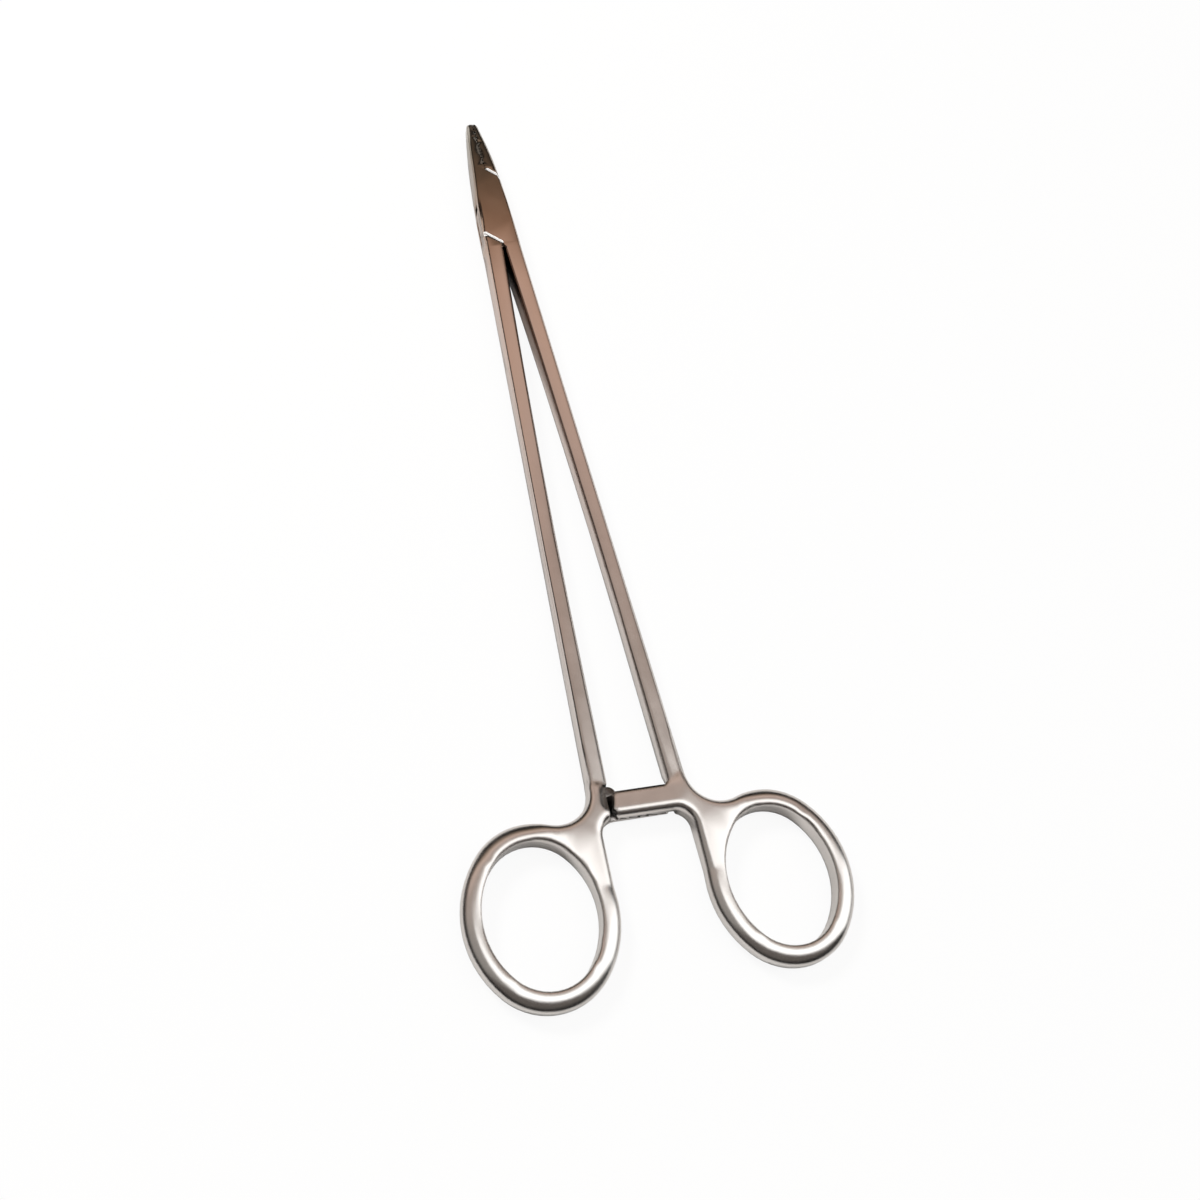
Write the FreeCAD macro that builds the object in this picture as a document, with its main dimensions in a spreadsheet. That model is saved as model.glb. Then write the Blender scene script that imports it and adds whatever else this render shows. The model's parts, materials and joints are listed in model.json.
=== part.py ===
import FreeCAD, Part
import os
import Sketcher
from math import pi, radians

# Surgical needle holder with a box lock: two forged halves and the pin they turn on.
# Everything is drawn from the pin axis, with the mid-plane of the instrument at Z = 0 and the
# jaws pointing along +Y. Each piece is then placed so that the box lock lies on the XY plane.

doc = FreeCAD.newDocument("NeedleHolder")
sheet = doc.addObject("Spreadsheet::Sheet", "Sizes")

DRIVING_SIZES = {
    # jaws
    "jaw_reach": 27.3,
    "jaw_tip_width": 1.2,
    "jaw_tip_thickness": 3.0,
    "jaw_tip_round": 0.8,
    "jaw_gap": 0.08,
    "serration_pitch": 1.0,
    "serration_depth": 0.18,
    # box lock
    "box_thickness": 5.5,
    "box_front": 12.0,
    "box_rear": 12.4,
    "front_width": 5.6,
    "pin_width": 7.0,
    "rear_width": 7.7,
    "rear_land": 1.5,
    "edge_bevel": 0.6,
    "tenon_thickness": 1.9,
    "lock_clearance": 0.05,
    "hub_inset": 0.05,
    "hub_clearance": 0.15,
    "shoulder_peak": 11.3,
    "shoulder_foot": 8.4,
    "shoulder_gap": 0.1,
    "shoulder_bevel": 0.35,
    "opening_angle": 55,
    "stop_margin": 2,
    # hinge pin
    "pin_radius": 1.5,
    "pin_clearance": 0.03,
    # shanks
    "crotch_gap": 0.2,
    "shank_mid": 64.0,
    "mid_offset": 4.5,
    "mid_width": 3.1,
    "mid_thickness": 4.1,
    "shank_end": 139.5,
    "end_offset": 7.25,
    "end_width": 3.6,
    "end_bevel": 0.8,
    # finger rings
    "ring_inner": 8.15,
    "ring_front": 141.9,
    "ring_width": 26.5,
    "ring_length": 31.6,
    "ring_end_share": 0.88,
    "ring_band": 3.3,
    "ring_thickness": 4.5,
    "ring_round": 1.35,
    "hole_bevel": 0.55,
    "web_inset": 0.15,
    "web_corner": 136.3,
    "outer_fillet": 6.0,
    "inner_fillet": 3.1,
    "merge_fillet": 15.0,
    # ratchet bars
    "bar_front": 138.7,
    "bar_depth": 4.6,
    "bar_reach": 5.4,
    "bar_slant": 0.7,
    "bar_nose": 3.0,
    "upper_corner": 0.5,
    "lower_corner": 1.6,
    "bar_step": 6.4,
    "run_in_length": 2.4,
    "run_in_depth": 1.15,
    "bar_clearance": 0.08,
    "first_tooth": 0.4,
    "tooth_pitch": 1.6,
    "tooth_height": 0.8,
    "tooth_count": 4,
}

# Places worked out from the sizes: the middle of a finger ring, and the web's straight inner side.
RING_MIDDLE = "(<ring_inner> + <ring_width> / 2)"
RING_BACK = "(<ring_front> + <ring_length> / 2)"
WEB_SIDE = "(<ring_inner> + <web_inset>)"
# Lengths that carry a cut well past the piece, and how close two places count as one.
PAST_JAW = "2 * <jaw_reach>"
PAST_BOX = "2 * <pin_width>"
THROUGH = "2 * <box_thickness>"
SAME = 0.01

for row, (alias, number) in enumerate(DRIVING_SIZES.items(), start=1):
    sheet.set(f"A{row}", alias.replace("_", " "))
    sheet.set(f"B{row}", str(number))
    sheet.setAlias(f"B{row}", alias)
doc.recompute()


def bound(expression):
    """The same expression with each <alias> written as a cell of the sheet."""
    return expression.replace("<", "Sizes.").replace(">", "")


def value(expression):
    """The number that an expression in the sheet's names comes to now."""
    return float(sheet.evalExpression(bound(expression)))


def attach(sketch, body, role, offset="0"):
    """Lay a sketch on one of its body's origin planes, offset along the plane's normal."""
    plane = next(item for item in body.Origin.OriginFeatures if item.Role == role)
    sketch.AttachmentSupport = [(plane, "")]
    sketch.MapMode = "FlatFace"
    sketch.setExpression("AttachmentOffset.Base.z", bound(offset))


def pin_down(sketch, geometry, position, across, along):
    """Hold a sketch point at a distance from the origin along both axes."""
    for kind, expression in (("DistanceX", across), ("DistanceY", along)):
        constraint = Sketcher.Constraint(kind, -1, 1, geometry, position, value(expression))
        index = sketch.addConstraint(constraint)
        sketch.setExpression(f"Constraints[{index}]", bound(expression))


def size_up(sketch, kind, geometry, expression):
    """Give one piece of a sketch its size."""
    index = sketch.addConstraint(Sketcher.Constraint(kind, geometry, value(expression)))
    sketch.setExpression(f"Constraints[{index}]", bound(expression))


def outline(body, name, role, corners, offset="0"):
    """A closed outline through corners given as pairs of expressions.

    A third expression bows the side after its corner by so much to the right, as an arc."""
    sketch = body.newObject("Sketcher::SketchObject", name)
    attach(sketch, body, role, offset)
    count = len(corners)
    points = [FreeCAD.Vector(value(corner[0]), value(corner[1]), 0) for corner in corners]
    for index, corner in enumerate(corners):
        start, end = points[index], points[(index + 1) % count]
        if len(corner) == 2:
            sketch.addGeometry(Part.LineSegment(start, end), False)
        else:
            right = (end - start).cross(FreeCAD.Vector(0, 0, 1)).normalize()
            sketch.addGeometry(Part.Arc(start, (start + end) / 2 + right * value(corner[2]), end), False)
    # An arc always runs anticlockwise, so its first point may be the side's last.
    firsts = [1 if sketch.getPoint(index, 1).distanceToPoint(points[index]) < SAME else 2
              for index in range(count)]
    for index in range(count):
        following = (index + 1) % count
        sketch.addConstraint(Sketcher.Constraint(
            "Coincident", index, 3 - firsts[index], following, firsts[following]))
    for index, (across, along, *bow) in enumerate(corners):
        pin_down(sketch, index, firsts[index], across, along)
        if bow:
            next_across, next_along = corners[(index + 1) % count][:2]
            chord = f"((({next_across}) - ({across}))^2 + (({next_along}) - ({along}))^2)"
            size_up(sketch, "Radius", index, f"({chord} / 4 + ({bow[0]})^2) / (2 * abs({bow[0]}))")
    return sketch


def circle(body, name, radius):
    """A circle about the pin axis."""
    sketch = body.newObject("Sketcher::SketchObject", name)
    attach(sketch, body, "XY_Plane")
    sketch.addGeometry(Part.Circle(FreeCAD.Vector(0, 0, 0), FreeCAD.Vector(0, 0, 1), value(radius)), False)
    sketch.addConstraint(Sketcher.Constraint("Coincident", 0, 3, -1, 1))
    size_up(sketch, "Radius", 0, radius)
    return sketch


def ring_oval(body, name, side, inset="0"):
    """A smooth oval of four arcs about the middle of the finger ring, set in from its outer edge."""
    sketch = body.newObject("Sketcher::SketchObject", name)
    attach(sketch, body, "XY_Plane")
    half_width = "(<ring_width> / 2)"
    end_radius = f"(<ring_end_share> * {half_width})"
    end_shift = f"(<ring_length> / 2 - {end_radius})"
    side_radius = (f"(({half_width}^2 + {end_shift}^2 - {end_radius}^2)"
                   f" / (2 * ({half_width} - {end_radius})))")
    side_shift = f"({side_radius} - {half_width})"
    lean = radians(value(f"atan({end_shift} / {side_shift})"))
    middle = f"{side} * {RING_MIDDLE}"
    arcs = (
        (f"{middle} - {side_shift}", f"-{RING_BACK}", side_radius, -lean, lean),
        (middle, f"{end_shift} - {RING_BACK}", end_radius, lean, pi - lean),
        (f"{middle} + {side_shift}", f"-{RING_BACK}", side_radius, pi - lean, pi + lean),
        (middle, f"-{end_shift} - {RING_BACK}", end_radius, pi + lean, 2 * pi - lean),
    )
    for across, along, radius, start, end in arcs:
        centre = FreeCAD.Vector(value(across), value(along), 0)
        round_line = Part.Circle(centre, FreeCAD.Vector(0, 0, 1), value(f"{radius} - {inset}"))
        sketch.addGeometry(Part.ArcOfCircle(round_line, start, end), False)
    for index, (across, along, radius, start, end) in enumerate(arcs):
        sketch.addConstraint(Sketcher.Constraint("Tangent", index, 2, (index + 1) % len(arcs), 1))
        size_up(sketch, "Radius", index, f"{radius} - {inset}")
        if radius == end_radius:
            pin_down(sketch, index, 3, across, along)
    return sketch


def extrude(body, kind, name, sketch, length):
    """A pad or pocket that goes equally to both sides of its sketch."""
    feature = body.newObject(f"PartDesign::{kind}", name)
    feature.Profile = sketch
    feature.SideType = "Symmetric"
    feature.setExpression("Length", bound(length))
    doc.recompute()
    return feature


def loft(body, name, sections, straight):
    """A bar drawn through its cross-sections."""
    feature = body.newObject("PartDesign::AdditiveLoft", name)
    feature.Profile = sections[0]
    feature.Sections = sections[1:]
    feature.Ruled = straight
    doc.recompute()


def dress(body, kind, name, size, chosen):
    """Fillet or chamfer the edges of the body's last feature that pass a test."""
    base = body.Tip
    names = [f"Edge{index}" for index, edge in enumerate(base.Shape.Edges, start=1) if chosen(edge)]
    feature = body.newObject(f"PartDesign::{kind}", name)
    feature.Base = (base, names)
    feature.setExpression("Radius" if kind == "Fillet" else "Size", bound(size))
    doc.recompute()


def bevelled_section(body, name, distance, inner, outer, thickness, bevel, side):
    """A bar's cross-section with its four corners bevelled, across the instrument at -distance."""
    high = f"({thickness}) / 2"
    low = f"-({thickness}) / 2"
    corners = (
        (f"{side} * (({inner}) + {bevel})", high),
        (f"{side} * (({outer}) - {bevel})", high),
        (f"{side} * ({outer})", f"{high} - {bevel}"),
        (f"{side} * ({outer})", f"{low} + {bevel}"),
        (f"{side} * (({outer}) - {bevel})", low),
        (f"{side} * (({inner}) + {bevel})", low),
        (f"{side} * ({inner})", f"{low} + {bevel}"),
        (f"{side} * ({inner})", f"{high} - {bevel}"),
    )
    return outline(body, name, "XZ_Plane", corners, distance)


def on_face(edge, thickness):
    """Whether an edge lies in the top or bottom face of a piece of that thickness."""
    half = value(thickness) / 2
    return all(abs(abs(vertex.Z) - half) < SAME for vertex in edge.Vertexes) and edge.BoundBox.ZLength < SAME


def upright(edge):
    """Whether an edge runs straight up."""
    box = edge.BoundBox
    return box.ZLength > SAME and box.XLength < SAME and box.YLength < SAME


def uprights_within(side, *window):
    """A test for upright edges strictly inside a plan window, given for the right-hand side."""
    x_low, x_high, y_low, y_high = (value(limit) for limit in window)

    def chosen(edge):
        middle = edge.BoundBox.Center
        across = x_low + SAME < middle.x * side < x_high - SAME
        return upright(edge) and across and y_low + SAME < middle.y < y_high - SAME
    return chosen


def repeat(body, name, original, role, reverse, pitch, count):
    """A row of copies of a feature along one of the body's axes."""
    row = body.newObject("PartDesign::LinearPattern", name)
    row.Originals = [original]
    axis = next(item for item in body.Origin.OriginFeatures if item.Role == role)
    row.Direction = (axis, [""])
    row.Reversed = reverse
    row.Mode = "Spacing"
    row.setExpression("Offset", bound(pitch))
    row.setExpression("Occurrences", bound(count))
    body.Tip = row
    doc.recompute()


def forge_handle(body, side, corner_round):
    """Finger ring, web and ratchet bar, at full thickness."""
    extrude(body, "Pad", "Ring", ring_oval(body, "RingOutline", side), "<ring_thickness>")
    bar_back = "-(<bar_front> + <bar_depth>)"
    shank_side = "(<end_offset> - <end_width> / 2)"
    web = outline(body, "WebOutline", "XY_Plane", (
        (f"{side} * (<end_offset> + <end_width> / 2)", "-<web_corner>"),
        (f"{side} * (<ring_inner> + <ring_band> / 2)", f"-{RING_BACK}"),
        (f"{side} * {WEB_SIDE}", f"-{RING_BACK}"),
        (f"{side} * {WEB_SIDE}", bar_back),
        (f"{side} * -2 * <bar_reach>", bar_back),
        (f"{side} * -2 * <bar_reach>", "-<bar_front>"),
        (f"{side} * ({shank_side} - {corner_round})", "-<bar_front>",
         f"{side} * (sqrt(2) / 2 - 1) * {corner_round}"),
        (f"{side} * {shank_side}", f"-(<bar_front> - {corner_round})"),
    ))
    extrude(body, "Pad", "Web", web, "<ring_thickness>")
    below_bar = "-(<bar_front> + 2 * <bar_depth>)"
    dress(body, "Fillet", "OuterCrotch", "<outer_fillet>", uprights_within(
        side, WEB_SIDE, RING_MIDDLE, f"-{RING_BACK}", "-<web_corner>"))
    dress(body, "Fillet", "BarRoot", "<inner_fillet>", uprights_within(
        side, "<end_offset>", RING_MIDDLE, below_bar, "-<bar_front>"))
    dress(body, "Fillet", "RingMerge", "<merge_fillet>", uprights_within(
        side, "<end_offset>", RING_MIDDLE, f"-{RING_BACK}", below_bar))
    bar_line = value(bar_back)
    web_line = value(WEB_SIDE)

    def crest(edge):
        outer = edge.BoundBox.Center.x * side > web_line or edge.BoundBox.YMin < bar_line + SAME
        return on_face(edge, "<ring_thickness>") and outer
    dress(body, "Fillet", "CrestRound", "<ring_round>", crest)
    hole = ring_oval(body, "HoleOutline", side, "<ring_band>")
    extrude(body, "Pocket", "FingerHole", hole, "2 * <ring_thickness>")
    hole_box = hole.Shape.BoundBox
    hole_box.enlarge(SAME)

    def hole_rim(edge):
        middle = edge.BoundBox.Center
        return on_face(edge, "<ring_thickness>") and hole_box.isInside(FreeCAD.Vector(middle.x, middle.y, 0))
    dress(body, "Chamfer", "HoleBevel", "<hole_bevel>", hole_rim)


def forge_bar(body, side):
    """Shank, box and jaw of one half, as forged, before the lock is cut."""
    rear_corner = "-(<box_rear> - <rear_land>)"

    def side_bow(end, half_width):
        """How far a side bows out, so that it passes the pin at half the lock's width there."""
        share = f"({rear_corner} / ({rear_corner} - {end}))"
        chord = f"(<rear_width> / 2 + ({half_width} - <rear_width> / 2) * {share})"
        return f"{side} * (<pin_width> / 2 - {chord}) / (4 * {share} * (1 - {share}))"
    blank = outline(body, "BlankOutline", "XY_Plane", (
        (f"{side} * -<rear_width> / 2", "-<box_rear>"),
        (f"{side} * <rear_width> / 2", "-<box_rear>"),
        (f"{side} * <rear_width> / 2", rear_corner, side_bow("<box_front>", "<front_width> / 2")),
        (f"{side} * <front_width> / 2", "<box_front>"),
        ("0", "<box_front>"),
        ("0", "<jaw_reach>"),
        (f"{side} * -<jaw_tip_width>", "<jaw_reach>", side_bow("<jaw_reach>", "<jaw_tip_width>")),
        (f"{side} * -<rear_width> / 2", rear_corner),
    ))
    extrude(body, "Pad", "Blank", blank, "<box_thickness>")
    for name, sign in (("Top", 1), ("Bottom", -1)):
        wedge = outline(body, f"{name}TaperOutline", "YZ_Plane", (
            ("<box_front>", f"{sign} * <box_thickness> / 2"),
            ("<jaw_reach>", f"{sign} * <jaw_tip_thickness> / 2"),
            (PAST_JAW, f"{sign} * <jaw_tip_thickness> / 2"),
            (PAST_JAW, f"{sign} * <box_thickness>"),
            ("<box_front>", f"{sign} * <box_thickness>"),
        ))
        extrude(body, "Pocket", f"{name}Taper", wedge, PAST_JAW)
    tip = value("<jaw_reach>")
    rear = -value("<box_rear>")

    def tip_corner(edge):
        return upright(edge) and edge.BoundBox.YMin > tip - SAME and abs(edge.BoundBox.XMin) > SAME
    dress(body, "Fillet", "TipCorner", "<jaw_tip_round>", tip_corner)

    def rim(edge):
        box = edge.BoundBox
        outer = max(abs(box.XMin), abs(box.XMax)) > SAME
        across = box.YLength < SAME and box.YMin < tip - SAME
        return box.YMin > rear - SAME and outer and not across and not upright(edge)
    dress(body, "Chamfer", "RimBevel", "<edge_bevel>", rim)
    loft(body, "Shank", [
        bevelled_section(body, "ShankFront", "<box_rear>", "<crotch_gap> / 2", "<rear_width> / 2",
                         "<box_thickness>", "<edge_bevel>", side),
        bevelled_section(body, "ShankMiddle", "<shank_mid>", "<mid_offset> - <mid_width> / 2",
                         "<mid_offset> + <mid_width> / 2", "<mid_thickness>", "<edge_bevel>", side),
        bevelled_section(body, "ShankBack", "<shank_end>", "<end_offset> - <end_width> / 2",
                         "<end_offset> + <end_width> / 2", "<ring_thickness>", "<end_bevel>", side),
    ], False)


def halve_bar(body, side):
    """Mill the ratchet bar to half thickness, trim its end and cut its teeth."""
    past_bar = "3 * <bar_reach>"
    rebate = outline(body, "RebateOutline", "XY_Plane", (
        (f"{side} * (<bar_step> - <run_in_depth>)", "-(<bar_front> - <run_in_length>)"),
        (f"{side} * <bar_step>", "-<bar_front>"),
        (f"{side} * <bar_step>", "-(<bar_front> + 2 * <bar_depth>)"),
        (f"{side} * -{past_bar}", "-(<bar_front> + 2 * <bar_depth>)"),
        (f"{side} * -{past_bar}", "-(<bar_front> - <run_in_length>)"),
    ), f"{side} * (<bar_clearance> - <ring_thickness>) / 2")
    extrude(body, "Pocket", "Rebate", rebate, "<ring_thickness>")
    trim = outline(body, "BarEndOutline", "XY_Plane", (
        (f"{side} * (<bar_slant> - <bar_reach>)", "-(<bar_front> - <run_in_length>)"),
        (f"{side} * (<bar_slant> - <bar_reach>)", "-<bar_front>"),
        (f"{side} * -<bar_reach>", "-(<bar_front> + <bar_nose>)"),
        (f"{side} * (<bar_slant> - <bar_reach>)", "-(<bar_front> + <bar_depth>)"),
        (f"{side} * (<bar_slant> - <bar_reach>)", "-(<bar_front> + 2 * <bar_depth>)"),
        (f"{side} * -{past_bar}", "-(<bar_front> + 2 * <bar_depth>)"),
        (f"{side} * -{past_bar}", "-(<bar_front> - <run_in_length>)"),
    ))
    extrude(body, "Pocket", "BarEnd", trim, "2 * <ring_thickness>")
    first = "(<bar_slant> - <bar_reach> + <first_tooth>)"
    face = "<bar_clearance> / 2"
    tooth = outline(body, "ToothOutline", "XZ_Plane", (
        (f"{side} * {first}", f"{side} * -{face}"),
        (f"{side} * {first}", f"{side} * ({face} + <tooth_height>)"),
        (f"{side} * ({first} + <tooth_pitch>)", f"{side} * {face}"),
    ), "<bar_front> + <bar_depth> / 2")
    notch = extrude(body, "Pocket", "ToothNotch", tooth, "2 * <bar_depth>")
    repeat(body, "Teeth", notch, "X_Axis", side < 0, "<tooth_pitch>", "<tooth_count>")


def plate_end(edge):
    """Whether an edge is the slanting end of a lock plate or the shoulder that it meets."""
    box = edge.BoundBox
    slanting = box.XLength > box.YLength / 2
    return on_face(edge, "<box_thickness>") and slanting and abs(box.Center.y) < value("<shoulder_peak>")


def serrate(body, side):
    """Cross grooves on the biting face of the jaw."""
    start = "(<box_front> + <serration_pitch>)"
    groove = outline(body, "GrooveOutline", "XY_Plane", (
        (f"{side} * <jaw_gap> / 2", f"{start} - <serration_pitch> / 2"),
        (f"{side} * <jaw_gap> / 2", f"{start} + <serration_pitch> / 2"),
        (f"{side} * -(<jaw_gap> / 2 + <serration_depth>)", start),
    ))
    notch = extrude(body, "Pocket", "Groove", groove, THROUGH)
    repeat(body, "Serrations", notch, "Y_Axis", False, "<serration_pitch>",
           "floor((<jaw_reach> - <jaw_tip_round> - <box_front>) / <serration_pitch>)")


def place(piece):
    """Move a piece from the pin axis to the frame in which the instrument lies at rest."""
    piece.setExpression("Placement.Base.y", bound("(<ring_front> + <ring_length> - <jaw_reach>) / 2"))
    piece.setExpression("Placement.Base.z", bound("<box_thickness> / 2"))


def female_half():
    """The half with the left jaw, the two lock plates and the right shank and ring."""
    body = doc.addObject("PartDesign::Body", "FemaleHalf")
    body.Label = "female_half"
    forge_handle(body, 1, "<upper_corner>")
    forge_bar(body, 1)
    halve_bar(body, 1)
    for name, sign in (("Front", 1), ("Rear", -1)):
        beyond = outline(body, f"{name}PlateOutline", "XY_Plane", (
            (f"{sign} * -<jaw_gap> / 2", f"{sign} * <shoulder_peak>"),
            (f"{sign} * <pin_width>", f"{sign} * (2 * <shoulder_foot> - <shoulder_peak>)"),
            (f"{sign} * <pin_width>", f"{sign} * {PAST_JAW}"),
            (f"{sign} * -<jaw_gap> / 2", f"{sign} * {PAST_JAW}"),
        ))
        extrude(body, "Pocket", f"{name}PlateEnd", beyond, THROUGH)
    slot_height = "<tenon_thickness> + 2 * <lock_clearance>"
    hub = circle(body, "SlotHubOutline", "<pin_width> / 2 - <hub_inset> + <hub_clearance>")
    extrude(body, "Pocket", "SlotHub", hub, slot_height)
    reach = "(<pin_width> / 2 + <hub_clearance>)"
    stop = "(<opening_angle> + <stop_margin>)"
    for name, sign in (("Front", 1), ("Rear", -1)):
        sweep = outline(body, f"{name}SlotOutline", "XY_Plane", (
            ("0", "0"),
            (f"{sign} * {reach} * cos({stop})", f"{sign} * -{reach} * sin({stop})"),
            (f"{sign} * ({reach} * cos({stop}) + <pin_width> * sin({stop}))",
             f"{sign} * (<pin_width> * cos({stop}) - {reach} * sin({stop}))"),
            (f"{sign} * {PAST_BOX}", f"{sign} * <jaw_reach>"),
            (f"{sign} * -<jaw_gap> / 2", f"{sign} * <jaw_reach>"),
        ))
        extrude(body, "Pocket", f"{name}Slot", sweep, slot_height)
    dress(body, "Chamfer", "PlateEndBevel", "<shoulder_bevel>", plate_end)
    bore = circle(body, "RivetHoleOutline", "<pin_radius>")
    extrude(body, "Pocket", "RivetHole", bore, THROUGH)
    serrate(body, 1)
    return body


def male_half():
    """The half with the right jaw, the tenon between the plates and the left shank and ring."""
    body = doc.addObject("PartDesign::Body", "MaleHalf")
    body.Label = "male_half"
    forge_handle(body, -1, "<lower_corner>")
    forge_bar(body, -1)
    halve_bar(body, -1)
    foot = "(2 * <shoulder_foot> - <shoulder_peak> + <shoulder_gap>)"
    peak = "(<shoulder_peak> + <shoulder_gap>)"
    for name, sign in (("Top", 1), ("Bottom", -1)):
        recess = outline(body, f"{name}RecessOutline", "XY_Plane", (
            ("<pin_width>", foot),
            ("0", peak),
            ("-<pin_width>", peak),
            ("-<pin_width>", f"-{foot}"),
            ("0", f"-{peak}"),
            ("<pin_width>", f"-{peak}"),
        ), f"{sign} * (<tenon_thickness> + <box_thickness>) / 2")
        extrude(body, "Pocket", f"{name}Recess", recess, "<box_thickness>")
    dress(body, "Chamfer", "ShoulderBevel", "<shoulder_bevel>", plate_end)
    for name, sign in (("Front", 1), ("Rear", -1)):
        relief = outline(body, f"{name}ReliefOutline", "XY_Plane", (
            (f"{sign} * <jaw_gap> / 2", "0"),
            (f"{sign} * <jaw_gap> / 2", f"{sign} * {PAST_JAW}"),
            (f"{sign} * -<pin_width>", f"{sign} * {PAST_JAW}"),
            (f"{sign} * -<pin_width>", "0"),
        ))
        extrude(body, "Pocket", f"{name}Relief", relief, THROUGH)
    hub = circle(body, "HubOutline", "<pin_width> / 2 - <hub_inset>")
    extrude(body, "Pad", "Hub", hub, "<tenon_thickness>")
    bore = circle(body, "BoreOutline", "<pin_radius> + <pin_clearance>")
    extrude(body, "Pocket", "Bore", bore, THROUGH)
    serrate(body, -1)
    return body


def hinge_pin():
    """The rivet, pressed into both plates and ground flush with them."""
    body = doc.addObject("PartDesign::Body", "HingePin")
    body.Label = "hinge_pin"
    rivet = circle(body, "RivetOutline", "<pin_radius>")
    extrude(body, "Pad", "Rivet", rivet, "<box_thickness>")
    return body


pieces = (female_half(), male_half(), hinge_pin())
for piece in pieces:
    place(piece)
doc.recompute()
for item in doc.Objects:
    if {"Invalid", "Error"} & set(item.State):
        raise RuntimeError(f"{item.Name} failed: {item.State}")
for piece in pieces:
    if piece.Shape.isNull() or not piece.Shape.isValid():
        raise RuntimeError(f"{piece.Label} has no valid shape")
os.makedirs("parts", exist_ok=True)
for piece in pieces:
    piece.Shape.exportStep(f"parts/{piece.Label}.step")
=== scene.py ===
import json
from math import radians

import bmesh
import bpy
from mathutils import Matrix, Vector


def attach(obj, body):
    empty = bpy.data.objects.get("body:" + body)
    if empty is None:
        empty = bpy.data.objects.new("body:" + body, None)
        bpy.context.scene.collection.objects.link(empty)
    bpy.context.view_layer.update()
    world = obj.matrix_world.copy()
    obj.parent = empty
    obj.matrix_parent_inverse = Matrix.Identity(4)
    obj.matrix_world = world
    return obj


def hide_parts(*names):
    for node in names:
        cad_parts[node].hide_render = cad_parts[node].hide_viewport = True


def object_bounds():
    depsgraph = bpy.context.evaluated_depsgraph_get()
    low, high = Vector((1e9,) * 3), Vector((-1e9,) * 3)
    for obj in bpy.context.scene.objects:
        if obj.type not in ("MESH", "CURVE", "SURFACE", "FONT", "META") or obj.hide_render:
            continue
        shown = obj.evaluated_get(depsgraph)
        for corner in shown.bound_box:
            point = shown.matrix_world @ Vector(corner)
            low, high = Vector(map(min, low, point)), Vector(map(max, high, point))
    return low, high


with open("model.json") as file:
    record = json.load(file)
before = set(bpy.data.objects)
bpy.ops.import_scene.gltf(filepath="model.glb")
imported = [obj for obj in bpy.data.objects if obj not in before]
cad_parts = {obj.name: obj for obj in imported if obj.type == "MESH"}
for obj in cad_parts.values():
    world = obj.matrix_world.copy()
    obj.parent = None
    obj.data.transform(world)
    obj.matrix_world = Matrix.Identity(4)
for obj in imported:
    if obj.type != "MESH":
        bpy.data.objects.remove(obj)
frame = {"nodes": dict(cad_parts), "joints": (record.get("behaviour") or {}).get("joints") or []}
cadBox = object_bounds()
scene = bpy.context.scene
mm = 0.001
pin = Vector(frame["joints"][0]["pos_m"])  # the pin's axis, which most places are given from
print("frame loaded:", ", ".join(sorted(frame["nodes"])))


# Nodes of a tree are added by kind. Their sockets are set, or fed by another node's, by name or place.
def addNode(tree, kind, inputs=None, **settings):
    node = tree.nodes.new(kind)
    for name, setting in settings.items():
        setattr(node, name, setting)
    for name, feed in (inputs or {}).items():
        if isinstance(feed, bpy.types.NodeSocket):
            tree.links.new(feed, node.inputs[name])
        else:
            node.inputs[name].default_value = feed
    return node


def addMath(tree, operation, *feeds, clamp=False):
    node = addNode(tree, "ShaderNodeMath", dict(enumerate(feeds)), operation=operation, use_clamp=clamp)
    return node.outputs[0]


def multiply(tree, first, *others):
    for other in others:
        first = addMath(tree, "MULTIPLY", first, other)
    return first


def mapRange(tree, value, given=(0.0, 1.0), wanted=(0.0, 1.0), **settings):
    return addNode(tree, "ShaderNodeMapRange", {
        "Value": value, "From Min": given[0], "From Max": given[1],
        "To Min": wanted[0], "To Max": wanted[1]}, **settings).outputs[0]


def splitVector(tree, vector):
    return tuple(addNode(tree, "ShaderNodeSeparateXYZ", {0: vector}).outputs)


def scaleColour(tree, colour, level):
    return addNode(tree, "ShaderNodeVectorMath", {0: colour, "Scale": level}, operation="SCALE").outputs[0]


def mixColour(tree, amount, first, second):
    node = addNode(tree, "ShaderNodeMix", {"Factor": amount}, data_type="RGBA")
    for socket, feed in ((node.inputs[6], first), (node.inputs[7], second)):
        if isinstance(feed, bpy.types.NodeSocket):
            tree.links.new(feed, socket)
        else:
            socket.default_value = (*feed, 1)
    return node.outputs[2]


def addRamp(tree, factor, stops):
    node = addNode(tree, "ShaderNodeValToRGB", {"Fac": factor})
    ramp = node.color_ramp
    ramp.interpolation = "LINEAR"
    while len(ramp.elements) < len(stops):
        ramp.elements.new(0.5)
    for element, (place, colour) in zip(ramp.elements, stops):
        element.position = place
        element.color = (*colour, 1)
    return node.outputs[0]


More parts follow.
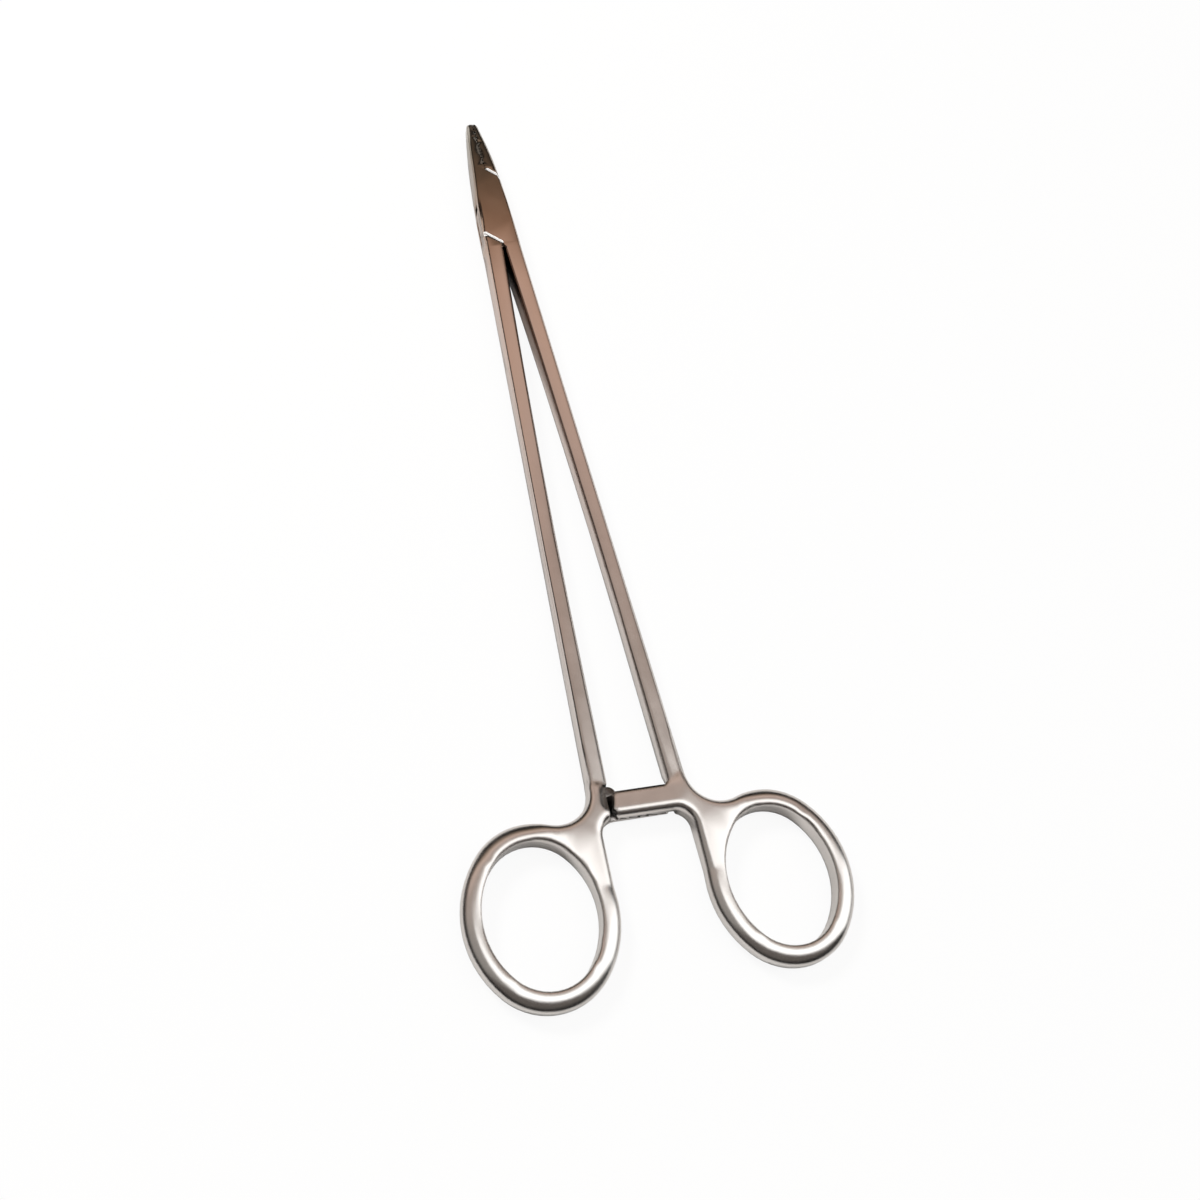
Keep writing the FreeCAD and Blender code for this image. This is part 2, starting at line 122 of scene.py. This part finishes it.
# Satin stainless steel. The colour warms and darkens from the finger rings to the jaw tips: the darkening
# over the box lock and jaws is painted shade, for the darker room that the steel mirrors there, and the
# lighter very tip is a painted highlight.
steel = {
    "coloursAndPaintedShade": [  # place along the instrument from ring to tip, colour
        (0.0, (0.66, 0.64, 0.62)),
        (0.22, (0.62, 0.585, 0.56)),
        (0.45, (0.60, 0.525, 0.485)),
        (0.76, (0.60, 0.47, 0.405)),
        (0.84, (0.40, 0.285, 0.215)),
        (0.90, (0.31, 0.235, 0.18)),
        (0.97, (0.28, 0.245, 0.195)),
        (1.0, (0.40, 0.37, 0.33)),
    ],
    "roughness": 0.20,
    "roughnessSpread": 0.04,
    "cloudSize": 9 * mm,  # slow changes of tone and gloss
    "cloudDetail": 3.0,
    "cloudSoftness": 0.6,
    "cloudRange": (0.3, 0.7),  # the part of the noise's range that is used
    "cloudSpread": 0.04,
    "grainSize": 0.12 * mm,
    "grainDetail": 2.0,
    "grainDepth": 0.0012 * mm,
    "brushStretch": 30,
    "bevelSamples": 8,
    "edgeRadius": 0.22 * mm,
    "edgeTurn": (0.995, 0.90),  # cosines of the turn where an edge's painted highlight starts and where it is full
    "edgeHighlightShare": 0.06,
    "edgeHighlightColour": (0.78, 0.75, 0.72),
    "handleRound": 1.25 * mm,  # rings and webs are polished round, beyond this distance behind the pin
    "handleFrom": 133.0 * mm,
    "handleBlend": 4.0 * mm,
    "handleSide": 6.0 * mm,
    "handleSideBlend": 1.0 * mm,
    "handleTop": 0.5,  # faces that look up more than this are polished round on the bar too
    "flushPin": 2.3 * mm,  # the pin is ground flush, so no edge shows nearer to its axis
    "seam": 0.5 * mm,  # nor along the seam of the closed jaws
    "seamLevel": 0.95,  # flat tops there get no painted shade, and the grooves' open ends are painted dark as painted shade
    "seamShadeTone": 0.35,
    "creviceSamples": 8,
    "creviceDepth": 2.5 * mm,
    "creviceOpen": (0.15, 0.58),  # how open a place is where the painted shade is full, and where it ends
    "creviceShadeTone": 0.12,
    # The pocket beside the bar's end is painted nearly black as painted shade.
    "pocketSide": (4.9 * mm, 7.7 * mm),  # the pocket beside the bar's end, from the middle
    "pocketAlong": (-142.8 * mm, -137.3 * mm),
    "pocketTop": 1.75 * mm,
    "pocketShadeTone": 0.05,
    "glintFront": 11.35 * mm,  # where the painted highlight on the lock's front shoulder crosses the middle, from the pin
    "glintSlope": 0.83,
    "glintWidth": 0.62 * mm,
    "glintLean": 0.7,  # the highlighted bevels lean by about 45 degrees, unlike the faces beside them
    "glintLeanSpread": 0.2,
    "glintColour": (0.98, 0.975, 0.965),
    "glintSteel": 0.1,  # how metallic the painted highlight stays
}


# Places are taken from the pin's axis, and the half behind it is turned onto the half in front.
def findSpots(tree, place, settings):
    fromPin = addNode(tree, "ShaderNodeVectorMath", {0: place, 1: pin}, operation="SUBTRACT").outputs[0]
    x, y, z = splitVector(tree, fromPin)
    trueNormal = addNode(tree, "ShaderNodeNewGeometry").outputs["True Normal"]
    aside = addMath(tree, "ABSOLUTE", x)
    turn = addMath(tree, "SIGN", y)
    return {
        "x": x, "y": y, "z": z, "aside": aside,
        "across": multiply(tree, x, turn),
        "ahead": multiply(tree, y, turn),
        "lean": addMath(tree, "ABSOLUTE", splitVector(tree, trueNormal)[2]),
        "inJaws": multiply(tree, addMath(tree, "LESS_THAN", aside, settings["seam"]),
                           addMath(tree, "GREATER_THAN", y, settings["glintFront"])),
    }


def toneAndPaintedShade(tree, place, cloud, settings):
    ends = (cadBox[0][1], cadBox[1][1])
    # The ramp along the instrument paints shade over the box lock and jaws, and a highlight at the very tip.
    base = addRamp(tree, mapRange(tree, splitVector(tree, place)[1], ends), settings["coloursAndPaintedShade"])
    spread = settings["cloudSpread"]
    return scaleColour(tree, base, mapRange(tree, cloud, settings["cloudRange"], (1 - spread, 1 + spread)))


# A painted highlight: the bevels along the lock's front shoulder are painted near-white and made nearly
# non-metallic, for the glint along the shoulder's gap.
def lockGlint(tree, spots, settings):
    line = addMath(tree, "MULTIPLY_ADD", spots["across"], settings["glintSlope"], spots["ahead"])
    offLine = addMath(tree, "ABSOLUTE", addMath(tree, "SUBTRACT", line, settings["glintFront"]))
    offLean = addMath(tree, "ABSOLUTE", addMath(tree, "SUBTRACT", spots["lean"], settings["glintLean"]))
    return multiply(
        tree,
        addMath(tree, "LESS_THAN", offLine, settings["glintWidth"]),
        addMath(tree, "LESS_THAN", offLean, settings["glintLeanSpread"]),
        addMath(tree, "GREATER_THAN", spots["across"], -settings["glintWidth"]))


# Edges are rounded, more so on rings and webs, and elsewhere get a painted highlight where the normal turns,
# which also stands for rubbed wear.
def roundEdges(tree, spots, settings):
    start = settings["handleFrom"]
    behind = mapRange(tree, spots["y"], (settings["handleBlend"] - start, -start))
    side = settings["handleSide"]
    outside = mapRange(tree, spots["aside"], (side - settings["handleSideBlend"], side))
    upward = addMath(tree, "GREATER_THAN", spots["lean"], settings["handleTop"])
    handle = multiply(tree, behind, addMath(tree, "MAXIMUM", outside, upward))

    flat = addNode(tree, "ShaderNodeCombineXYZ", {"X": spots["x"], "Y": spots["y"]}).outputs[0]
    reach = addNode(tree, "ShaderNodeVectorMath", {0: flat}, operation="LENGTH").outputs["Value"]
    clear = addMath(tree, "GREATER_THAN", reach, settings["flushPin"])
    clear = addMath(tree, "SUBTRACT", clear, spots["inJaws"], clamp=True)
    radius = mapRange(tree, handle, wanted=(settings["edgeRadius"], settings["handleRound"]))
    rounded = addNode(tree, "ShaderNodeBevel", {
        "Radius": multiply(tree, clear, radius)}, samples=settings["bevelSamples"]).outputs[0]

    smooth = addNode(tree, "ShaderNodeNewGeometry").outputs["Normal"]
    facing = addNode(tree, "ShaderNodeVectorMath", {
        0: rounded, 1: smooth}, operation="DOT_PRODUCT").outputs["Value"]
    edge = mapRange(tree, facing, settings["edgeTurn"], (0.0, settings["edgeHighlightShare"]))
    return rounded, multiply(tree, edge, addMath(tree, "SUBTRACT", 1.0, handle))


# Painted shade: crevices, the pocket by the bar's end and the grooves' ends are darkened in the colour, where
# shade falls between the halves and in the grooves.
def paintCreviceShade(tree, spots, settings):
    openness = addNode(tree, "ShaderNodeAmbientOcclusion", {
        "Distance": settings["creviceDepth"]}, samples=settings["creviceSamples"]).outputs["AO"]
    paintedShade = mapRange(tree, openness, settings["creviceOpen"], (settings["creviceShadeTone"], 1.0))

    # Painted shade: the pocket beside the bar's end is painted nearly black, for the shadow in that gap.
    # The other half's pocket lies underneath, on the other side.
    toEnd = multiply(tree, spots["x"], addMath(tree, "SIGN", spots["z"]), -1.0)
    pocket = addMath(tree, "LESS_THAN", addMath(tree, "ABSOLUTE", spots["z"]), settings["pocketTop"])
    for feed, (start, end) in ((toEnd, settings["pocketSide"]), (spots["y"], settings["pocketAlong"])):
        pocket = multiply(tree, pocket, addMath(tree, "GREATER_THAN", feed, start),
                          addMath(tree, "LESS_THAN", feed, end))
    paintedShade = addMath(tree, "MINIMUM", paintedShade, mapRange(tree, pocket, wanted=(1.0, settings["pocketShadeTone"])))

    # Painted shade along the jaws' seam: the grooves' walls are painted dark, and the flat tops are left
    # unshaded.
    level = addMath(tree, "GREATER_THAN", spots["lean"], settings["seamLevel"])
    level = multiply(tree, spots["inJaws"], level)
    notch = addMath(tree, "SUBTRACT", spots["inJaws"], level)
    paintedShade = addMath(tree, "MAXIMUM", paintedShade, level)
    return mapRange(tree, notch, wanted=(paintedShade, settings["seamShadeTone"]))


# A fine brushed grain along the instrument, over a sand-like satin.
def satinGrain(tree, place, rounded, settings):
    stretched = addNode(tree, "ShaderNodeMapping", {
        "Vector": place, "Scale": (1, 1 / settings["brushStretch"], 1)}).outputs[0]
    brushed, sandy = (addNode(tree, "ShaderNodeTexNoise", {
        "Vector": vector, "Scale": 1 / settings["grainSize"], "Detail": settings["grainDetail"],
    }).outputs["Fac"] for vector in (stretched, place))
    return addNode(tree, "ShaderNodeBump", {
        "Height": addMath(tree, "ADD", brushed, sandy), "Distance": settings["grainDepth"],
        "Strength": 1.0, "Normal": rounded}).outputs[0]


def makeSteel(name, settings):
    material = bpy.data.materials.new(name)
    material.use_nodes = True
    tree = material.node_tree
    place = addNode(tree, "ShaderNodeTexCoord").outputs["Object"]
    spots = findSpots(tree, place, settings)
    cloud = addNode(tree, "ShaderNodeTexNoise", {
        "Vector": place, "Scale": 1 / settings["cloudSize"], "Detail": settings["cloudDetail"],
        "Roughness": settings["cloudSoftness"]}).outputs["Fac"]

    rounded, edge = roundEdges(tree, spots, settings)
    # The base colour gets the painted edge highlight mixed in here.
    worn = mixColour(tree, edge, toneAndPaintedShade(tree, place, cloud, settings), settings["edgeHighlightColour"])
    # The colour is darkened here by the painted shade of crevices, the pocket and the jaws' grooves.
    withPaintedShade = scaleColour(tree, worn, paintCreviceShade(tree, spots, settings))
    glint = lockGlint(tree, spots, settings)
    roughness, spread = settings["roughness"], settings["roughnessSpread"]
    feeds = {
        "Base Color": mixColour(tree, glint, withPaintedShade, settings["glintColour"]),
        "Metallic": mapRange(tree, glint, wanted=(1.0, settings["glintSteel"])),
        "Roughness": mapRange(tree, cloud, settings["cloudRange"], (roughness - spread, roughness + spread)),
        "Normal": satinGrain(tree, place, rounded, settings),
    }
    for socket, feed in feeds.items():
        tree.links.new(feed, tree.nodes["Principled BSDF"].inputs[socket])
    return material


satinSteel = makeSteel("satinSteel", steel)
pinSteel = makeSteel("pinSteel", {**steel, "brushStretch": 1})
print("materials made")


# The two forgings: the CAD surfaces, welded and shaded smooth up to their real edges.
forging = {
    "weld": 0.002 * mm,
    "sharpFrom": radians(32),
    "ringMiddle": Vector((21.4, -157.7, 0)) * mm,  # from the pin's axis, on the right
    "ringHole": (9.95 * mm, 12.5 * mm),
    "ringOuter": (13.25 * mm, 15.8 * mm),
    "ringSlope": 0.34,  # share of its height that a ring loses from the hole to its outer side
    "slopeReach": (0.22, 1.05),  # where that slope starts and ends, as shares of the ring's band
    "webMiddle": Vector((11.5, -143.5, 0)) * mm,
    "webReach": (4.5 * mm, 10 * mm),  # where beside the web the slope begins, and where it is full
    "shadingWeight": 100,
}


def ease(value, start, end):
    share = min(max((value - start) / (end - start), 0), 1)
    return share * share * (3 - 2 * share)


def slopeRings(work):
    for vert in work.verts:
        place = vert.co - pin
        side = 1 if place.x > 0 else -1
        plan = Vector((place.x * side, place.y, 0))
        fromMiddle = plan - forging["ringMiddle"]
        width, length = forging["ringOuter"]
        if abs(fromMiddle.x) > 2 * width or abs(fromMiddle.y) > 2 * length:
            continue
        hole, outer = (Vector((fromMiddle.x / wide, fromMiddle.y / long)).length
                       for wide, long in (forging["ringHole"], forging["ringOuter"]))
        outward = (hole - 1) / max(hole - outer, 0.001)
        beside = ease((plan - forging["webMiddle"]).length, *forging["webReach"])
        loss = forging["ringSlope"] * beside * ease(outward, *forging["slopeReach"])
        vert.co.z = pin.z + place.z * (1 - loss)


def weldNode(node, name):
    mesh = frame["nodes"][node].data.copy()
    mesh.name = name
    work = bmesh.new()
    work.from_mesh(mesh)
    bmesh.ops.remove_doubles(work, verts=work.verts, dist=forging["weld"])
    bmesh.ops.dissolve_degenerate(work, edges=work.edges, dist=forging["weld"])
    slopeRings(work)
    work.to_mesh(mesh)
    work.free()
    mesh.materials.clear()
    mesh.materials.append(satinSteel)
    mesh.shade_smooth()
    mesh.set_sharp_from_angle(angle=forging["sharpFrom"])
    piece = bpy.data.objects.new(name, mesh)
    scene.collection.objects.link(piece)
    level = piece.modifiers.new("evenShading", "WEIGHTED_NORMAL")
    level.keep_sharp = True
    level.weight = forging["shadingWeight"]
    return piece


for node, name, body in (("female_half", "femaleForging", "female"), ("male_half", "maleForging", "male")):
    piece = weldNode(node, name)
    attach(piece, body)
    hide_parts(node)
pinObject = frame["nodes"]["hinge_pin"]
pinObject.data.materials.clear()
pinObject.data.materials.append(pinSteel)
print("forgings and pin finished")


# Between the jaws, each groove is cut across into a row of small diamonds that hold a needle.
grip = {
    "rows": 14,  # one in each groove of the jaw
    "rowPitch": 1.0 * mm,
    "firstRow": 13.0 * mm,  # from the pin's axis
    "studs": 11,
    "studPitch": 0.5 * mm,
    "studSides": 4,
    "studSize": 0.16 * mm,
    "studHeight": 0.13 * mm,
    "grooveFloor": 0.225 * mm,  # from the middle of the closed jaws
    "rearHalf": 2.55 * mm,  # half the jaw's thickness at the first row, by the lock, and at the last one
    "frontHalf": 1.50 * mm,
    "wear": 0.86,  # the most worn diamond's share of the full size
    "seed": 7,
}
gripInputs = {
    "Rows": "Int", "Row Pitch": "Float", "Studs": "Int", "Stud Pitch": "Float", "Stud Sides": "Int",
    "Stud Size": "Float", "Stud Height": "Float", "Rear Half": "Float", "Front Half": "Float",
    "Wear": "Float", "Side": "Float", "Place": "Vector", "Seed": "Int", "Material": "Material",
}


def buildGripTree():
    tree = bpy.data.node_groups.new("gripDiamonds", "GeometryNodeTree")
    tree.interface.new_socket("Geometry", in_out="OUTPUT", socket_type="NodeSocketGeometry")
    sockets = {
        name: tree.interface.new_socket(name, in_out="INPUT", socket_type="NodeSocket" + kind).identifier
        for name, kind in gripInputs.items()}
    given = addNode(tree, "NodeGroupInput").outputs
    length = multiply(tree, addMath(tree, "SUBTRACT", given["Rows"], 1.0), given["Row Pitch"])
    height = multiply(tree, addMath(tree, "SUBTRACT", given["Studs"], 1.0), given["Stud Pitch"])
    grid = addNode(tree, "GeometryNodeMeshGrid", {
        "Size X": length, "Size Y": height,
        "Vertices X": given["Rows"], "Vertices Y": given["Studs"]}).outputs[0]

    # The rows get shorter with the jaw, so diamonds past its edge are left out.
    position = addNode(tree, "GeometryNodeInputPosition").outputs[0]
    x, y, z = splitVector(tree, position)
    half = multiply(tree, length, 0.5)
    jawHalf = mapRange(tree, x, (multiply(tree, half, -1.0), half), (given["Rear Half"], given["Front Half"]))
    edge = addMath(tree, "ADD", addMath(tree, "ABSOLUTE", y), given["Stud Size"])
    kept = addNode(tree, "GeometryNodeDeleteGeometry", {
        "Geometry": grid, "Selection": addMath(tree, "GREATER_THAN", edge, jawHalf)}).outputs[0]

    stud = addNode(tree, "GeometryNodeMeshCone", {
        "Vertices": given["Stud Sides"], "Radius Top": 0.0, "Radius Bottom": given["Stud Size"],
        "Depth": given["Stud Height"]}).outputs["Mesh"]
    worn = addNode(tree, "FunctionNodeRandomValue", {
        2: given["Wear"], 3: 1.0, "Seed": given["Seed"]}).outputs[1]
    studs = addNode(tree, "GeometryNodeInstanceOnPoints", {
        "Points": kept, "Instance": stud, "Scale": worn}).outputs[0]
    solid = addNode(tree, "GeometryNodeRealizeInstances", {"Geometry": studs}).outputs[0]

    # The grid lies flat until here: its length goes along the jaw, and the points face the other jaw.
    turned = addNode(tree, "ShaderNodeCombineXYZ", {
        "X": multiply(tree, z, given["Side"]), "Y": x, "Z": multiply(tree, y, given["Side"])}).outputs[0]
    placed = addNode(tree, "ShaderNodeVectorMath", {0: turned, 1: given["Place"]}, operation="ADD").outputs[0]
    laid = addNode(tree, "GeometryNodeSetPosition", {"Geometry": solid, "Position": placed}).outputs[0]
    dressed = addNode(tree, "GeometryNodeSetMaterial", {
        "Geometry": laid, "Material": given["Material"]}).outputs[0]
    addNode(tree, "NodeGroupOutput", {0: dressed})
    return tree, sockets


def addGrip(name, side, body):
    tree, sockets = gripTree
    middle = grip["firstRow"] + (grip["rows"] - 1) * grip["rowPitch"] / 2
    values = {
        "Rows": grip["rows"], "Row Pitch": grip["rowPitch"], "Studs": grip["studs"],
        "Stud Pitch": grip["studPitch"], "Stud Sides": grip["studSides"], "Stud Size": grip["studSize"],
        "Stud Height": grip["studHeight"], "Rear Half": grip["rearHalf"], "Front Half": grip["frontHalf"],
        "Wear": grip["wear"], "Side": side, "Seed": grip["seed"], "Material": satinSteel,
        "Place": pin + Vector((-side * grip["grooveFloor"], middle, 0)),
    }
    holder = bpy.data.objects.new(name, bpy.data.meshes.new(name))
    scene.collection.objects.link(holder)
    rule = holder.modifiers.new("gripDiamonds", "NODES")
    rule.node_group = tree
    for label, value in values.items():
        rule[sockets[label]] = value
    ready = holder.evaluated_get(bpy.context.evaluated_depsgraph_get())
    mesh = bpy.data.meshes.new_from_object(ready)
    holder.modifiers.remove(rule)
    holder.data = mesh
    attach(holder, body)
    print(name, "has", len(mesh.polygons), "faces")


gripTree = buildGripTree()
addGrip("femaleGrip", 1.0, "female")
addGrip("maleGrip", -1.0, "male")


# The floor shows white to the camera, and keeps the instrument's shadow there and in the steel.
floor = {
    "size": 3.0,
    "drop": 0.02 * mm,
    "colour": (0.88, 0.88, 0.87),
    "roughness": 0.8,
    "gloss": 0.2,
    "seenWhite": 0.92,  # share of plain white that the camera sees
    "mirroredWhite": 0.02,  # and that the steel mirrors
}


def whiteShare(tree):
    rays = addNode(tree, "ShaderNodeLightPath").outputs
    mirrored = addMath(tree, "MAXIMUM", rays["Is Glossy Ray"], rays["Is Transmission Ray"])
    return addMath(tree, "MAXIMUM", multiply(tree, rays["Is Camera Ray"], floor["seenWhite"]),
                   multiply(tree, mirrored, floor["mirroredWhite"]))


def layFloor():
    half = floor["size"] / 2
    mesh = bpy.data.meshes.new("floor")
    corners = [(-half, -half), (half, -half), (half, half), (-half, half)]
    mesh.from_pydata([(x, y, -floor["drop"]) for x, y in corners], [], [(0, 1, 2, 3)])
    material = bpy.data.materials.new("paleFloor")
    material.use_nodes = True
    tree = material.node_tree
    shader = tree.nodes["Principled BSDF"]
    shader.inputs["Base Color"].default_value = (*floor["colour"], 1)
    shader.inputs["Roughness"].default_value = floor["roughness"]
    shader.inputs["Specular IOR Level"].default_value = floor["gloss"]
    glow = addNode(tree, "ShaderNodeEmission", {"Color": (1, 1, 1, 1), "Strength": 1.0}).outputs[0]
    mixed = addNode(tree, "ShaderNodeMixShader", {
        0: whiteShare(tree), 1: shader.outputs[0], 2: glow}).outputs[0]
    tree.links.new(mixed, tree.nodes["Material Output"].inputs["Surface"])
    mesh.materials.append(material)
    sheet = bpy.data.objects.new("floor", mesh)
    scene.collection.objects.link(sheet)


layFloor()


# Soft studio light: a bright strip of ceiling running off to the right, a room that is dark low down
# and warm beyond the jaws, and two lamps that light the floor but don't show in the steel.
room = {
    "tones": [  # how far a direction points towards the jaws, colour of the room there
        (-1.0, (0.12, 0.105, 0.095)),
        (-0.32, (0.14, 0.12, 0.11)),
        (-0.24, (0.36, 0.34, 0.32)),
        (0.20, (0.40, 0.37, 0.345)),
        (0.28, (0.52, 0.455, 0.415)),
        (0.38, (0.50, 0.425, 0.38)),
        (0.44, (0.48, 0.40, 0.355)),
        (0.49, (0.58, 0.455, 0.40)),
        (0.54, (0.71, 0.57, 0.505)),
        (0.58, (0.83, 0.665, 0.575)),
        (0.64, (0.86, 0.66, 0.55)),
        (0.67, (0.68, 0.50, 0.41)),
        (0.70, (0.34, 0.235, 0.165)),
        (0.78, (0.24, 0.185, 0.14)),
        (1.0, (0.15, 0.12, 0.10)),
    ],
    "lowTone": 0.07,  # share of the colour that is left near the horizon
    "lowFrom": 0.40,
    "lowTo": 0.62,
    "backdrop": 1.08,  # behind the floor's far edge, at the floor's own white
    "strip": 1.9,  # its brightness, and the directions it fills along and across the instrument
    "stripAlong": (-0.29, -0.24, 0.222, 0.262),
    "stripLeft": (-0.26, -0.14),
}
softBoxes = {
    "key": {"place": (-0.42, 0.42, 0.62), "size": 0.22, "power": 5.0},
    "overhead": {"place": (0.08, -0.10, 0.80), "size": 0.45, "power": 0.4},
}


def paintRoom():
    world = bpy.data.worlds.new("room")
    world.use_nodes = True
    tree = world.node_tree
    x, y, z = splitVector(tree, addNode(tree, "ShaderNodeTexCoord").outputs["Generated"])

    def between(way, start, end):
        return mapRange(tree, way, (start, end), interpolation_type="SMOOTHSTEP")

    tones = [((place + 1) / 2, colour) for place, colour in room["tones"]]
    tone = addRamp(tree, mapRange(tree, y, (-1.0, 1.0)), tones)
    high = mapRange(tree, between(z, room["lowFrom"], room["lowTo"]), wanted=(room["lowTone"], 1.0))
    near, nearFull, farFull, far = room["stripAlong"]
    strip = multiply(tree, between(y, near, nearFull), between(y, far, farFull),
                     between(x, *room["stripLeft"]), between(z, 0.0, room["lowFrom"]))
    both = mixColour(tree, strip, scaleColour(tree, tone, high), (room["strip"],) * 3)
    both = mixColour(tree, whiteShare(tree), both, (room["backdrop"],) * 3)
    tree.links.new(both, tree.nodes["Background"].inputs["Color"])
    scene.world = world


def hangSoftBox(name, box):
    lamp = bpy.data.lights.new(name, "AREA")
    lamp.shape = "SQUARE"
    lamp.size = box["size"]
    lamp.energy = box["power"]
    holder = bpy.data.objects.new(name, lamp)
    place = Vector(box["place"])
    aim = (-place).to_track_quat("-Z", "Y").to_matrix().to_4x4()
    holder.matrix_world = Matrix.Translation(place) @ aim
    holder.visible_glossy = False
    scene.collection.objects.link(holder)


paintRoom()
for name, box in softBoxes.items():
    hangSoftBox(name, box)
scene.view_settings.view_transform = "Standard"
print("floor and light set")


# The camera stands where the photograph's two halves come out as mirror images of each other.
view = {
    "place": Vector((-67.41, -136.57, 209.81)) * mm,
    "tilt": 29.37,
    "swing": -13.495,
    "roll": -6.321,
    "lens": 38.65,
    "sensor": 36.0,
    "nearest": 10 * mm,
}


def placeCamera():
    camera = bpy.data.cameras.new("camera")
    camera.lens = view["lens"]
    camera.sensor_width = view["sensor"]
    camera.clip_start = view["nearest"]
    holder = bpy.data.objects.new("camera", camera)
    turn = (Matrix.Rotation(radians(view["roll"]), 4, "Z")
            @ Matrix.Rotation(radians(view["tilt"]), 4, "X")
            @ Matrix.Rotation(radians(view["swing"]), 4, "Y"))
    holder.matrix_world = Matrix.Translation(view["place"]) @ turn
    scene.collection.objects.link(holder)
    scene.camera = holder


placeCamera()
print("camera placed")
